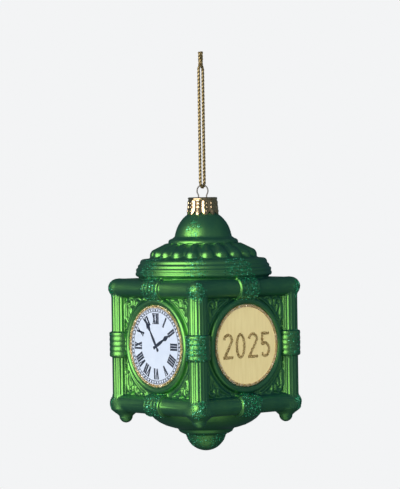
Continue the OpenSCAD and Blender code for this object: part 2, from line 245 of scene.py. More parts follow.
@dataclass(frozen=True)
class MetallicThread(Recipe):
    """Twisted metallic thread in antique gold, with painted shade: gold on the crowns of the plies,
    dark brown painted in the grooves between them.
    """

    name: str = "twisted_metallic_thread"
    crown: str = "#C2A873"
    # shade: painted shade, the dark brown laid in the grooves between the plies
    shade: str = "#2A1C10"
    speck_mm: float = 0.25

    def inputs(self, tree: bpy.types.NodeTree) -> dict[str, Any]:
        """Paints shade dark brown into the grooves between the plies and keeps the crowns gold,
        broken in specks.

        Args:
            tree: the material's tree.

        Returns:
            The shader's inputs.
        """
        crown = add_node(tree, "ShaderNodeAttribute", attribute_name="crown").outputs["Fac"]
        both = {0: crown, 1: mottle(tree, self.speck_mm)}
        lit = {"Fac": add_node(tree, "ShaderNodeMath", both, operation="MULTIPLY").outputs[0]}
        # painted shade: where the crown value is low, between the plies, the thread is painted dark
        # brown
        stops = ((0.12, self.shade), (0.42, self.crown))
        colour = add_node(tree, "ShaderNodeValToRGB", lit, stops).outputs["Color"]
        return {"Base Color": colour, "Metallic": 0.7, "Roughness": 0.38}


@dataclass(frozen=True)
class PrintedWhite(Recipe):
    """Cool white screen print on glass: smooth and slightly glossy."""

    name: str = "cool_white_screen_print"
    colour: str = "#E6EEFD"
    shade: str = "#DEE7F8"
    cloud_mm: float = 6.0
    tooth_mm: float = 0.5
    tooth_depth_mm: float = 0.02

    def inputs(self, tree: bpy.types.NodeTree) -> dict[str, Any]:
        """Clouds the white faintly and gives it the tooth of a screen.

        Args:
            tree: the material's tree.

        Returns:
            The shader's inputs.
        """
        cloud = {"Fac": mottle(tree, self.cloud_mm)}
        stops = ((0.3, self.shade), (0.7, self.colour))
        colour = add_node(tree, "ShaderNodeValToRGB", cloud, stops).outputs["Color"]
        height = mottle(tree, self.tooth_mm)
        tooth = {"Height": height, "Strength": 0.05, "Distance": self.tooth_depth_mm * MM}
        normal = add_node(tree, "ShaderNodeBump", tooth).outputs["Normal"]
        return {"Base Color": colour, "Roughness": 0.42, "Normal": normal}


@dataclass(frozen=True)
class PrintedInk(Recipe):
    """Blue-black screen ink: flat and dark with a faint mottle."""

    name: str = "blue_black_screen_ink"
    dark: str = "#1D2536"
    pale: str = "#36415A"
    mottle_mm: float = 0.4

    def inputs(self, tree: bpy.types.NodeTree) -> dict[str, Any]:
        """Lets the ink run paler in spots.

        Args:
            tree: the material's tree.

        Returns:
            The shader's inputs.
        """
        spots = {"Fac": mottle(tree, self.mottle_mm)}
        stops = ((0.45, self.dark), (0.8, self.pale))
        colour = add_node(tree, "ShaderNodeValToRGB", spots, stops).outputs["Color"]
        return {"Base Color": colour, "Roughness": 0.5}


@dataclass(frozen=True)
class MattGold(Recipe):
    """Matt pale gold paint on glass: an even, powdery sheen with fine upright brush streaks."""

    name: str = "matt_pale_gold_paint"
    light: str = "#F6E2A4"
    deep: str = "#EED898"
    streak_mm: float = 1.2
    squeeze: float = 0.12

    def inputs(self, tree: bpy.types.NodeTree) -> dict[str, Any]:
        """Draws the brush's streaks out along the height.

        Args:
            tree: the material's tree.

        Returns:
            The shader's inputs.
        """
        place = add_node(tree, "ShaderNodeTexCoord").outputs["Object"]
        drawn = {"Vector": place, "Scale": (1.0, 1.0, self.squeeze)}
        drawn = add_node(tree, "ShaderNodeMapping", drawn).outputs[0]
        streak = {"Vector": drawn, "Scale": 1 / (self.streak_mm * MM), "Detail": 3.0}
        streak = {"Fac": add_node(tree, "ShaderNodeTexNoise", streak).outputs["Fac"]}
        stops = ((0.3, self.deep), (0.7, self.light))
        colour = add_node(tree, "ShaderNodeValToRGB", streak, stops).outputs["Color"]
        return {"Base Color": colour, "Roughness": 0.6}


@dataclass(frozen=True)
class FlakeFoil(Recipe):
    """Cut foil flakes: each one a small mirror of its own tint, so the patch sparkles."""

    stops: tuple[tuple[float, str], ...]
    metallic: float
    roughness: float = 0.22

    def inputs(self, tree: bpy.types.NodeTree) -> dict[str, Any]:
        """Colours each flake by its tint.

        Args:
            tree: the material's tree.

        Returns:
            The shader's inputs.
        """
        tint = {"Fac": add_node(tree, "ShaderNodeAttribute", attribute_name="tint").outputs["Fac"]}
        colour = add_node(tree, "ShaderNodeValToRGB", tint, self.stops).outputs["Color"]
        return {"Base Color": colour, "Metallic": self.metallic, "Roughness": self.roughness}


@dataclass(frozen=True)
class PaperGlow(Recipe):
    """Plain pale paper, lit evenly of its own so that it shows no shadow."""

    name: str = "pale_paper_sweep"
    colour: str = "#F3F4F5"

    def shader(self, tree: bpy.types.NodeTree) -> bpy.types.Node:
        """Adds an even glow to the tree and returns it."""
        return add_node(tree, "ShaderNodeEmission", {"Color": linear(self.colour), "Strength": 1.0})


class Finish(Enum):
    """The finishes of the ornament, each with the record's slot that it belongs to."""

    LACQUER = "lacquered_glass"
    CAP = "cap_metal"
    WIRE = "wire"
    THREAD = "cord"
    DIAL = "dial"
    INK = "ink"
    DISC = "gold_disc"
    GOLD_FLAKES = "gold_glitter"
    GREEN_FLAKES = "green_glitter"


GOLD_TINTS = ((0.0, "#94803F"), (0.35, "#BC9A5C"), (0.7, "#EED4A2"), (1.0, "#FFF8EA"))
GREEN_TINTS = ((0.0, "#04301F"), (0.4, "#0A7048"), (0.75, "#12B070"), (1.0, "#90FFD2"))
RECIPES: dict[Finish, Recipe] = {
    Finish.LACQUER: SatinLacquer(),
    Finish.CAP: StampedGold(),
    Finish.WIRE: DrawnWire(),
    Finish.THREAD: MetallicThread(),
    Finish.DIAL: PrintedWhite(),
    Finish.INK: PrintedInk(),
    Finish.DISC: MattGold(),
    Finish.GOLD_FLAKES: FlakeFoil("gold_foil_flakes", GOLD_TINTS, metallic=0.5),
    Finish.GREEN_FLAKES: FlakeFoil("emerald_foil_flakes", GREEN_TINTS, metallic=0.45),
}


@dataclass
class Paintbox:
    """Makes each finish once and hands it out."""

    made: dict[Finish, bpy.types.Material] = field(default_factory=dict)

    def get(self, finish: Finish) -> bpy.types.Material:
        """Returns a finish's material, made on first use.

        Args:
            finish: which finish.

        Returns:
            The material.
        """
        if finish not in self.made:
            self.made[finish] = RECIPES[finish].make()
        return self.made[finish]


# ---------------------------------------------------------------- mesh helpers


def link(obj: bpy.types.Object) -> bpy.types.Object:
    """Links an object to the scene and returns it."""
    bpy.context.scene.collection.objects.link(obj)
    return obj


def mesh_object(
    name: str,
    points: np.ndarray,
    faces: Sequence[Sequence[int]],
    material: bpy.types.Material | None = None,
    smooth: bool = True,
) -> bpy.types.Object:
    """Makes a mesh object from points and faces.

    Args:
        name: the object's name.
        points: the points, in metres, in the row frame.
        faces: each face's point numbers.
        material: what the faces are made of.
        smooth: whether the faces are shaded smooth.

    Returns:
        The new object.
    """
    mesh = bpy.data.meshes.new(name)
    mesh.from_pydata([tuple(p) for p in points], [], [tuple(f) for f in faces])
    mesh.validate()
    if smooth:
        mesh.shade_smooth()
    if material:
        mesh.materials.append(material)
    return link(bpy.data.objects.new(name, mesh))


def applied(obj: bpy.types.Object) -> bpy.types.Object:
    """Turns an object's modifiers into plain mesh.

    Args:
        obj: the object.

    Returns:
        The same object, with no modifiers left.
    """
    graph = bpy.context.evaluated_depsgraph_get()
    result = bpy.data.meshes.new_from_object(obj.evaluated_get(graph))
    result.name = obj.name
    obj.modifiers.clear()
    obj.data = result
    return obj


def positions(mesh: bpy.types.Mesh) -> np.ndarray:
    """Returns a mesh's vertex places as an array of rows."""
    flat = np.empty(len(mesh.vertices) * 3, np.float32)
    mesh.vertices.foreach_get("co", flat)
    return flat.reshape(-1, 3)


def set_values(mesh: bpy.types.Mesh, name: str, values: np.ndarray) -> None:
    """Stores one number per vertex.

    Args:
        mesh: the mesh.
        name: the attribute's name.
        values: the numbers.
    """
    attribute = mesh.attributes.get(name) or mesh.attributes.new(name, "FLOAT", "POINT")
    attribute.data.foreach_set("value", values.astype(np.float32))


def place_piece(
    obj: bpy.types.Object, body: str, finish: Finish, *nodes: str
) -> bpy.types.Object:
    """Rides a piece on its body and hides the nodes that it stands for.

    Args:
        obj: the piece.
        body: the body that carries it.
        finish: its finish; not used.
        nodes: the nodes that it replaces.

    Returns:
        The piece.
    """
    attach(obj, body)
    if nodes:
        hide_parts(*nodes)
    log.info("%s on %s, %d faces", obj.name, body, len(obj.data.polygons))
    return obj


# ---------------------------------------------------------------- layout


@dataclass(frozen=True)
class Layout:
    """Places read from the frame, in millimetres. Heights count from the finial's tip."""

    tip: float
    neck_top: float
    face_z: float
    seat: float

    @classmethod
    def read(cls) -> "Layout":
        """Reads the places from the frame's nodes.

        Returns:
            The places.
        """
        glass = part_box("glass_body")
        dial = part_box("dial_front")
        tip = glass[0].z / MM
        return cls(
            tip=tip,
            neck_top=glass[1].z / MM - tip,
            face_z=(dial[0].z + dial[1].z) / 2 / MM - tip,
            seat=-dial[1].y / MM,
        )


# ---------------------------------------------------------------- blown glass


def smooth_union(a: np.ndarray, b: np.ndarray, k: float) -> np.ndarray:
    """Joins two distance fields with a soft fillet.

    Args:
        a: the first field.
        b: the second field.
        k: the fillet's size, in millimetres.

    Returns:
        The joined field.
    """
    h = np.clip(0.5 + 0.5 * (b - a) / k, 0, 1)
    return b + (a - b) * h - k * h * (1 - h)


def band(radial: np.ndarray, along: np.ndarray, half: float, edge: float) -> np.ndarray:
    """The field of a drum with rounded edges.

    Args:
        radial: how far a point lies outside the drum's radius.
        along: how far it lies from the middle, along the axis.
        half: half the drum's length.
        edge: the radius of its edges.

    Returns:
        The drum's distance field.
    """
    q1 = radial + edge
    q2 = along - half + edge
    return np.minimum(np.maximum(q1, q2), 0) + np.hypot(np.maximum(q1, 0), np.maximum(q2, 0)) - edge


@dataclass
class GlassForm:
    """The blown glass as a distance field on a quarter of the plan, in millimetres."""

    layout: Layout
    step: float = 0.3
    reach: float = 34.8
    panel: float = 27.5
    low_rail: float = 22.3
    high_rail: float = 75.3
    rail_r: float = 4.05
    rail_reach: float = 28.2
    corner_r: float = 4.2
    post_r: float = 4.5
    post_reach: float = 27.2
    reeds: int = 18
    reed_depth: float = 0.34
    post_collar_r: float = 5.6
    rail_collar_r: float = 5.2
    collar_half: float = 5.8
    collar_edge: float = 0.5
    collar_fillet: float = 0.3
    ribs: int = 5
    rib_depth: float = 0.2
    bezel_mid: float = 20.25
    bezel_half: float = 1.55
    seat_r: float = 18.9
    foot_reach: float = 26.1
    foot_low: float = 16.2
    foot_high: float = 19.4
    foot_tip_r: float = 3.1
    foot_top_r: float = 6.6
    knob_r: float = 9.3
    under: float = 1.2
    gadroons: int = 20
    wall: float = 1.0
    bore_r: float = 4.95
    neck_r: float = 6.25

    def axes(self) -> tuple[np.ndarray, np.ndarray, np.ndarray]:
        """Lays out the grid.

        Returns:
            Its x, y and z places, ready to broadcast.
        """
        count = int(round(self.reach / self.step))
        across = ((np.arange(count) + 0.5) * self.step).astype(np.float32)
        levels = int(round((self.layout.neck_top + 2 * self.under) / self.step))
        up = (np.arange(levels) * self.step - self.under).astype(np.float32)
        return across[:, None, None], across[None, :, None], up[None, None, :]

    def ribbed(self, along: np.ndarray, outer: float) -> np.ndarray:
        """Returns a collar's radius along its length.

        Args:
            along: the distance from the collar's middle.
            outer: the radius at the ribs' crests.

        Returns:
            The radius.
        """
        pitch = 2 * self.collar_half / self.ribs
        return outer - self.rib_depth * (1 - np.abs(np.cos(math.pi * along / pitch)))

    def rails(self, x: np.ndarray, y: np.ndarray, z: np.ndarray) -> np.ndarray:
        """The rails of a level share a square path, with a ball at each corner and collars halfway.

        Args:
            x: the grid's places sideways.
            y: its places in depth.
            z: its heights.

        Returns:
            The rails' distance field.
        """
        both = np.maximum(x, y) - self.rail_reach
        corner = np.hypot(np.maximum(x - self.rail_reach, 0), np.maximum(y - self.rail_reach, 0))
        plan = np.where(both > 0, corner, -both)
        ball = np.hypot(x - self.rail_reach, y - self.rail_reach)
        rails = np.float32(FAR)
        for level in (self.low_rail, self.high_rail):
            tube = np.hypot(plan, z - level) - self.rail_r
            tube = smooth_union(tube, np.hypot(ball, z - level) - self.corner_r, 1.0)
            for along, off in ((x, y), (y, x)):
                radial = np.hypot(off - self.rail_reach, z - level)
                radial = radial - self.ribbed(along, self.rail_collar_r)
                collar = band(radial, along, self.collar_half, self.collar_edge)
                tube = smooth_union(tube, collar, self.collar_fillet)
            rails = np.minimum(rails, tube)
        return rails

    def posts(self, x: np.ndarray, y: np.ndarray, z: np.ndarray) -> np.ndarray:
        """A reeded post stands at each corner, with a ribbed collar halfway up.

        Args:
            x: the grid's places sideways.
            y: its places in depth.
            z: its heights.

        Returns:
            The posts' distance field.
        """
        dx, dy = x - self.post_reach, y - self.post_reach
        radius = np.hypot(dx, dy)
        turn = np.arctan2(dy, dx) - math.pi / 4
        reeded = self.post_r - self.reed_depth * (1 - np.abs(np.cos(self.reeds * turn / 2)))
        middle = (self.low_rail + self.high_rail) / 2
        post = np.maximum(radius - reeded, np.abs(z - middle) - (self.high_rail - middle))
        along = np.abs(z - self.layout.face_z)
        radial = radius - self.ribbed(along, self.post_collar_r)
        collar = band(radial, along, self.collar_half, self.collar_edge)
        return smooth_union(post, collar, self.collar_fillet)

    def feet(self, x: np.ndarray, y: np.ndarray, z: np.ndarray) -> np.ndarray:
        """A tapering foot with a round tip hangs under each corner.

        Args:
            x: the grid's places sideways.
            y: its places in depth.
            z: its heights.

        Returns:
            The feet's distance field.
        """
        low, high = self.foot_low, self.foot_high
        share = np.clip((z - low) / (high - low), 0, 1)
        centre = low + share * (high - low)
        radius = np.hypot(x - self.foot_reach, y - self.foot_reach)
        thick = self.foot_tip_r + (self.foot_top_r - self.foot_tip_r) * share
        return np.hypot(radius, z - centre) - thick

    def face(self, out: np.ndarray, u: np.ndarray, z: np.ndarray) -> np.ndarray:
        """The raised bezel, the disc's seat and the scrolls of one face.

        Args:
            out: the distance out from the clock's axis, across the face.
            u: the distance sideways from the face's middle.
            z: the height.

        Returns:
            The face's distance field.
        """
        v = z - self.layout.face_z
        radius = np.hypot(u, v)
        height = out - self.layout.seat
        rim = np.hypot(radius - self.bezel_mid, (height + 0.55) * 0.9) - self.bezel_half
        seat = band(radius - self.seat_r, np.abs(height + 4), 4.0, 0.2)
        made = smooth_union(rim, seat, 0.4)
        level = np.abs(z - (self.low_rail + self.high_rail) / 2)
        line, width = Scrollwork().plane_field(u, level)
        relief = np.hypot(line, (out - self.panel) * 0.8) - width
        return smooth_union(made, relief, 0.4)

    def profile(self) -> np.ndarray:
        """Draws the outline that the roof, dome, neck and bowl are turned from.

        Returns:
            The outline, as [radius, height] rows.
        """
        ball = self.knob_r
        knob = [
            (ball * math.sin(a), ball - ball * math.cos(a))
            for a in np.radians(np.linspace(0, 68, 12))
        ]
        bowl = [
            (12.4, 10.3), (15.4, 11.0), (18.6, 12.0), (21.4, 13.4), (23.6, 15.0), (25.3, 16.8),
            (26.4, 18.8),
        ]
        dome = [
            (13.2, 98.6), (12.9, 99.8), (12.5, 101.2), (12.0, 102.6), (11.3, 104.1), (10.4, 105.5),
            (9.4, 106.8), (8.3, 107.9), (7.1, 108.8),
        ]
        points = (
            knob
            + [(9.2, 7.4), (10.6, 8.4)]
            + bowl
            + [(26.6, 21), (26.6, 78), (30.0, 80.1), (30.4, 82.4), (29.5, 85.2), (28.2, 87.0)]
            + [(26.4, 88.3), (24.4, 89.2), (22.9, 90.0), (21.8, 92.0), (19.6, 93.6), (16.6, 94.7)]
            + [(15.2, 95.2), (15.9, 96.0), (15.4, 97.1), (14.2, 97.9)]
            + dome
            + [(self.neck_r, 109.6), (self.neck_r, self.layout.neck_top)]
            + [(0, self.layout.neck_top)]
        )
        return np.array(points, np.float32)

    def turned(self, x: np.ndarray, y: np.ndarray, z: np.ndarray) -> np.ndarray:
        """Everything that is round about the clock's axis is measured once in section, then spun.

        Args:
            x: the grid's places sideways.
            y: its places in depth.
            z: its heights.

        Returns:
            The distance field of the roof, dome, neck, bowl and finial.
        """
        outline = self.profile()
        fine = self.step / 2
        radii = np.arange(0, self.reach * math.sqrt(2) + 1, fine, dtype=np.float32)
        heights = np.arange(z.min(), z.max() + fine, fine, dtype=np.float32)
        r, h = np.meshgrid(radii, heights, indexing="ij")
        near = np.full(r.shape, FAR, np.float32)
        inside = np.zeros(r.shape, bool)
        closed = np.vstack([outline, [[0, 0]]])
        for (x1, y1), (x2, y2) in zip(closed[:-1], closed[1:]):
            ex, ey = x2 - x1, y2 - y1
            share = np.clip(((r - x1) * ex + (h - y1) * ey) / max(ex * ex + ey * ey, 1e-9), 0, 1)
            if x1 > 0 or x2 > 0:
                near = np.minimum(near, np.hypot(r - x1 - share * ex, h - y1 - share * ey))
            if y1 != y2:
                cross = ((y1 > h) != (y2 > h)) & (r < (x2 - x1) * (h - y1) / (y2 - y1) + x1)
                inside ^= cross
        flat = np.where(inside, -near, near)
        rings = (
            (30.2, 81.7, 1.2, 0.3),
            (30.1, 83.5, 1.05, 0.3),
            (29.3, 85.2, 1.0, 0.3),
            (27.5, 86.8, 1.75, 0.8),
            (14.9, 96.2, 1.1, 0.8),
            (10.9, 10.2, 1.7, 1.0),
        )
        for ring_r, ring_z, thick, soft in rings:
            flat = smooth_union(flat, np.hypot(r - ring_r, h - ring_z) - thick, soft)
        radius = np.hypot(x[:, :, 0], y[:, :, 0])
        i = np.clip(radius / fine, 0, len(radii) - 1.001)
        i0 = i.astype(int)
        share = (i - i0)[:, :, None]
        level = np.clip(np.rint((z[0, 0] - heights[0]) / fine).astype(int), 0, len(heights) - 1)
        columns = flat[:, level]
        return columns[i0] * (1 - share) + columns[i0 + 1] * share

    def gadroon_ring(self, x: np.ndarray, y: np.ndarray, z: np.ndarray) -> np.ndarray:
        """Rounded lobes lie side by side up the slope of the roof.

        Args:
            x: the grid's places sideways.
            y: its places in depth.
            z: its heights.

        Returns:
            The lobes' distance field.
        """
        pitch = FULL_TURN / self.gadroons
        turn = np.mod(np.arctan2(y, x) + pitch / 2, pitch) - pitch / 2
        radius = np.hypot(x, y)
        side, out = radius * np.sin(turn), radius * np.cos(turn)
        (r1, z1, t1), (r2, z2, t2) = (21.5, 90.0, 3.2), (16.8, 93.3, 2.3)
        ex, ez = r2 - r1, z2 - z1
        share = np.clip(((out - r1) * ex + (z - z1) * ez) / (ex * ex + ez * ez), 0, 1)
        away = np.sqrt((out - r1 - share * ex) ** 2 + (z - z1 - share * ez) ** 2 + side**2)
        return away - (t1 + (t2 - t1) * share)

    def whole(self) -> np.ndarray:
        """Joins every part, then hollows the neck and roof out.

        Returns:
            The distance field of the whole form on the quarter grid.
        """
        x, y, z = self.axes()
        core = np.maximum(np.maximum(x, y) - self.panel, np.abs(z - 49.5) - 30.0)
        form = smooth_union(core, self.rails(x, y, z), 0.9)
        form = smooth_union(form, self.posts(x, y, z), 0.6)
        form = smooth_union(form, self.face(x, y, z), 0.6)
        form = smooth_union(form, self.face(y, x, z), 0.6)
        form = smooth_union(form, self.feet(x, y, z), 1.2)
        round_parts = smooth_union(self.turned(x, y, z), self.gadroon_ring(x, y, z), 0.5)
        form = smooth_union(form, round_parts, 0.7)
        hollow = np.maximum(form + self.wall, 94.0 - z)
        bore = np.maximum(np.hypot(x, y) - self.bore_r, 100.0 - z)
        return np.maximum(np.maximum(form, -hollow), -bore)


@dataclass(frozen=True)
class Stroke:
    """One line of the scrollwork: its [sideways, up] points and its half-width at each end."""

    points: tuple[tuple[float, float], ...]
    first: float
    last: float


@dataclass(frozen=True)
class Scrollwork:
    """The leafy scrolls in each panel's corners, as a distance field in the panel's plane."""

    crescent_r: float = 23.6

    def strokes(self) -> list[Stroke]:
        """Draws the scrolls, stems and leaves of one corner.

        Returns:
            The strokes.
        """
        angles = np.radians(np.linspace(20, 66, 9))
        crescent = [(self.crescent_r * math.cos(a), self.crescent_r * math.sin(a)) for a in angles]
        hook = ((22.0, 13.6), (22.3, 17.4), (21.5, 20.4), (19.8, 21.4), (18.3, 20.4), (18.4, 18.6))
        return [
            Stroke(tuple(crescent), 0.55, 0.75),
            Stroke(hook, 0.85, 0.9),
            Stroke(((20.3, 18.4), (20.2, 16.4), (19.3, 14.6)), 0.85, 0.45),
            Stroke(((16.4, 18.8), (16.3, 20.8), (14.9, 21.9), (12.6, 21.5)), 0.95, 0.6),
            Stroke(((22.4, 12.6), (21.3, 10.6), (22.0, 8.2)), 0.9, 0.5),
            Stroke(((12.0, 22.5), (10.2, 21.9), (8.4, 22.5)), 0.6, 0.35),
        ]

    def plane_field(self, u: np.ndarray, v: np.ndarray) -> tuple[np.ndarray, np.ndarray]:
        """Measures how far each point of the panel lies from the nearest stroke.

        Args:
            u: the distance sideways from the face's middle, at least 0.
            v: the height from the face's middle.

        Returns:
            The distance to the nearest stroke, and that stroke's half-width there.
        """
        shape = np.broadcast_shapes(u.shape, v.shape)
        flat_u = np.broadcast_to(u, shape)
        flat_v = np.abs(np.broadcast_to(v, shape))
        best = np.full(shape, 9.0, np.float32)
        width = np.full(shape, 0.1, np.float32)
        for stroke in self.strokes():
            points, first, last = stroke.points, stroke.first, stroke.last
            total = len(points) - 1
            for k in range(total):
                (x1, y1), (x2, y2) = points[k], points[k + 1]
                ex, ey = x2 - x1, y2 - y1
                share = ((flat_u - x1) * ex + (flat_v - y1) * ey) / (ex * ex + ey * ey)
                share = np.clip(share, 0, 1)
                away = np.hypot(flat_u - x1 - share * ex, flat_v - y1 - share * ey)
                here = first + (last - first) * (k + share) / total
                nearer = away - here < best - width
                best = np.where(nearer, away, best)
                width = np.where(nearer, here, width)
        return best.astype(np.float32), width.astype(np.float32)


@dataclass
class GlassBody:
    """The one blown piece of glass: case, roof, dome, neck, bowl, rails, posts and feet."""

    layout: Layout
    paint: Paintbox
    most_triangles: int = 190_000
    dense: bpy.types.Mesh | None = None

    def build(self) -> bpy.types.Object:
        """Builds the glass from its distance field.

        Returns:
            The finished piece.
        """
        form = GlassForm(self.layout)
        quarter = form.whole().astype(np.float32)
        limit = np.float32(3 * form.step)
        quarter = np.clip(quarter, -limit, limit)
        half = np.concatenate([quarter[::-1], quarter], axis=0)
        dense = np.ascontiguousarray(np.concatenate([half[:, ::-1], half], axis=1))
        grid = openvdb.FloatGrid()
        grid.background = float(limit)
        grid.copyFromArray(dense)
        points, triangles, quads = grid.convertToPolygons(isovalue=0.0, adaptivity=0.0)
        count = dense.shape[0]
        start = np.array([-(count - 1) / 2 * form.step] * 2 + [-form.under + self.layout.tip])
        places = (points * form.step + start) * MM
        faces = [tuple(f[::-1]) for kind in (quads, triangles) for f in kind.tolist()]
        obj = mesh_object("blown_glass_case", places, faces, self.paint.get(Finish.LACQUER))
        made = len(quads) * 2 + len(triangles)
        self.dense = obj.data
        thin = obj.modifiers.new("thin", "DECIMATE")
        thin.ratio = min(1.0, self.most_triangles / made)
        applied(obj)
        obj.data.shade_smooth()
        return place_piece(obj, "glass", Finish.LACQUER, "glass_body")


# ---------------------------------------------------------------- glitter


def scatter_tree() -> bpy.types.GeometryNodeTree:
    """Builds the node tree that strews cut foil flakes over a surface.

    Returns:
        The tree. Its inputs are Density (per square metre), Flake (radius in metres), Tilt (radians),
        the Darkest and Lightest tint, Seed and Foil.
    """
    tree = bpy.data.node_groups.new("strewn_flakes", "GeometryNodeTree")
    face = tree.interface
    face.new_socket("Geometry", in_out="INPUT", socket_type="NodeSocketGeometry")
    for name in ("Density", "Flake", "Tilt", "Darkest", "Lightest"):
        face.new_socket(name, in_out="INPUT", socket_type="NodeSocketFloat")
    face.new_socket("Seed", in_out="INPUT", socket_type="NodeSocketInt")
    face.new_socket("Foil", in_out="INPUT", socket_type="NodeSocketMaterial")
    face.new_socket("Geometry", in_out="OUTPUT", socket_type="NodeSocketGeometry")
    given = add_node(tree, "NodeGroupInput").outputs
    cover = add_node(tree, "GeometryNodeInputNamedAttribute", {"Name": "cover"}, data_type="FLOAT")
    covered = {0: given["Density"], 1: cover.outputs["Attribute"]}
    density = add_node(tree, "ShaderNodeMath", covered, operation="MULTIPLY")
    strewn = add_node(
        tree,
        "GeometryNodeDistributePointsOnFaces",
        {"Mesh": given["Geometry"], "Density": density.outputs[0], "Seed": given["Seed"]},
    )
    thick = add_node(tree, "ShaderNodeMath", {0: given["Flake"], 1: 0.3}, operation="MULTIPLY")
    flake = add_node(
        tree,
        "GeometryNodeMeshCylinder",
        {"Vertices": 6, "Radius": given["Flake"], "Depth": thick.outputs[0]},
    )
    less = add_node(tree, "ShaderNodeMath", {0: given["Tilt"], 1: -1.0}, operation="MULTIPLY")
    less = less.outputs[0]
    low = add_node(tree, "ShaderNodeCombineXYZ", {0: less, 1: less, 2: -math.pi})
    high = add_node(tree, "ShaderNodeCombineXYZ", {0: given["Tilt"], 1: given["Tilt"], 2: math.pi})
    tilt = add_node(
        tree,
        "FunctionNodeRandomValue",
        {"Min": low.outputs[0], "Max": high.outputs[0], "Seed": given["Seed"]},
        data_type="FLOAT_VECTOR",
    )
    turned = add_node(
        tree,
        "FunctionNodeRotateRotation",
        {"Rotation": strewn.outputs["Rotation"], "Rotate By": tilt.outputs["Value"]},
        rotation_space="LOCAL",
    )
    sizes = {2: 0.65, 3: 1.25, "Seed": 7}
    size = add_node(tree, "FunctionNodeRandomValue", sizes, data_type="FLOAT")
    placed = add_node(
        tree,
        "GeometryNodeInstanceOnPoints",
        {
            "Points": strewn.outputs["Points"],
            "Instance": flake.outputs["Mesh"],
            "Rotation": turned.outputs["Rotation"],
            "Scale": size.outputs[1],
        },
    )
    tint = add_node(
        tree,
        "FunctionNodeRandomValue",
        {2: given["Darkest"], 3: given["Lightest"], "Seed": 11},
        data_type="FLOAT",
    )
    stored = add_node(
        tree,
        "GeometryNodeStoreNamedAttribute",
        {"Geometry": placed.outputs["Instances"], "Name": "tint", "Value": tint.outputs[1]},
        data_type="FLOAT",
        domain="INSTANCE",
    )
    real = add_node(tree, "GeometryNodeRealizeInstances", {"Geometry": stored.outputs["Geometry"]})
    dressed = add_node(
        tree,
        "GeometryNodeSetMaterial",
        {"Geometry": real.outputs["Geometry"], "Material": given["Foil"]},
    )
    add_node(tree, "NodeGroupOutput", {"Geometry": dressed.outputs["Geometry"]})
    return tree


@dataclass
class Strewer:
    """Strews flakes on copies of surfaces, with one shared node tree."""

    paint: Paintbox
    tree: bpy.types.GeometryNodeTree | None = None

    def strew(
        self,
        name: str,
        source: bpy.types.Mesh,
        cover: np.ndarray,
        finish: Finish,
        per_mm2: float,
        flake_mm: float,
        seed: int,
        tilt_deg: float = 30.0,
        tints: tuple[float, float] = (0.0, 1.0),
    ) -> bpy.types.Object:
        """Makes a piece of flakes.

        Args:
            name: the piece's name.
            source: the surface's mesh.
            cover: from 0 to 1 for each vertex, how thickly the flakes lie.
            finish: the flakes' finish.
            per_mm2: how many flakes lie on a square millimetre.
            flake_mm: a flake's radius.
            seed: the random seed.
            tilt_deg: how far a flake may tilt from the surface.
            tints: the darkest and the lightest tint.

        Returns:
            The piece of flakes, as plain mesh.
        """
        self.tree = self.tree or scatter_tree()
        mesh = trimmed(source, cover)
        obj = link(bpy.data.objects.new(name, mesh))
        scatter = obj.modifiers.new("scatter", "NODES")
        scatter.node_group = self.tree
        values = {
            "Density": per_mm2 / MM**2,
            "Flake": flake_mm * MM,
            "Tilt": math.radians(tilt_deg),
            "Darkest": tints[0],
            "Lightest": tints[1],
            "Seed": seed,
            "Foil": self.paint.get(finish),
        }
        for item in self.tree.interface.items_tree:
            if item.in_out == "INPUT" and item.name in values:
                scatter[item.identifier] = values[item.name]
        return applied(obj)


def trimmed(source: bpy.types.Mesh, cover: np.ndarray) -> bpy.types.Mesh:
    """Copies the faces of a mesh that are covered at all.

    Args:
        source: the mesh.
        cover: the cover of each vertex.

    Returns:
        A new mesh with the cover stored on it.
    """
    corner_of = np.empty(len(source.loops), np.int32)
    source.loops.foreach_get("vertex_index", corner_of)
    starts = np.empty(len(source.polygons), np.int32)
    source.polygons.foreach_get("loop_start", starts)
    totals = np.empty(len(source.polygons), np.int32)
    source.polygons.foreach_get("loop_total", totals)
    covered = cover > 0.001
    faces = [
        corner_of[s : s + t]
        for s, t in zip(starts.tolist(), totals.tolist())
        if covered[corner_of[s : s + t]].any()
    ]
    used = np.unique(np.concatenate(faces))
    renumber = np.zeros(len(source.vertices), np.int32)
    renumber[used] = np.arange(len(used))
    mesh = bpy.data.meshes.new("covered")
    mesh.from_pydata(positions(source)[used].tolist(), [], [renumber[f].tolist() for f in faces])
    set_values(mesh, "cover", cover[used])
    return mesh


def apart(turn: np.ndarray, centre: float) -> np.ndarray:
    """Returns how many degrees angles lie from another, the short way round."""
    return np.abs((turn - centre + 180) % 360 - 180)


def ragged(points: np.ndarray, size_mm: float, phase: float) -> np.ndarray:
    """A smooth, repeatable unevenness between about -1 and 1.

    Args:
        points: places, in millimetres.
        size_mm: the size of its lumps.
        phase: makes one patch differ from another.

    Returns:
        One value per point.
    """
    k = FULL_TURN / size_mm
    x, y, z = points.T
    waves = (
        np.sin(k * x + 1.3 * phase)
        + np.sin(k * 1.31 * y + 2.1 * phase)
        + np.sin(k * 0.83 * z - phase)
        + np.sin(k * 0.61 * (x + y - z) + 3.7 * phase)
    )
    return waves / 4


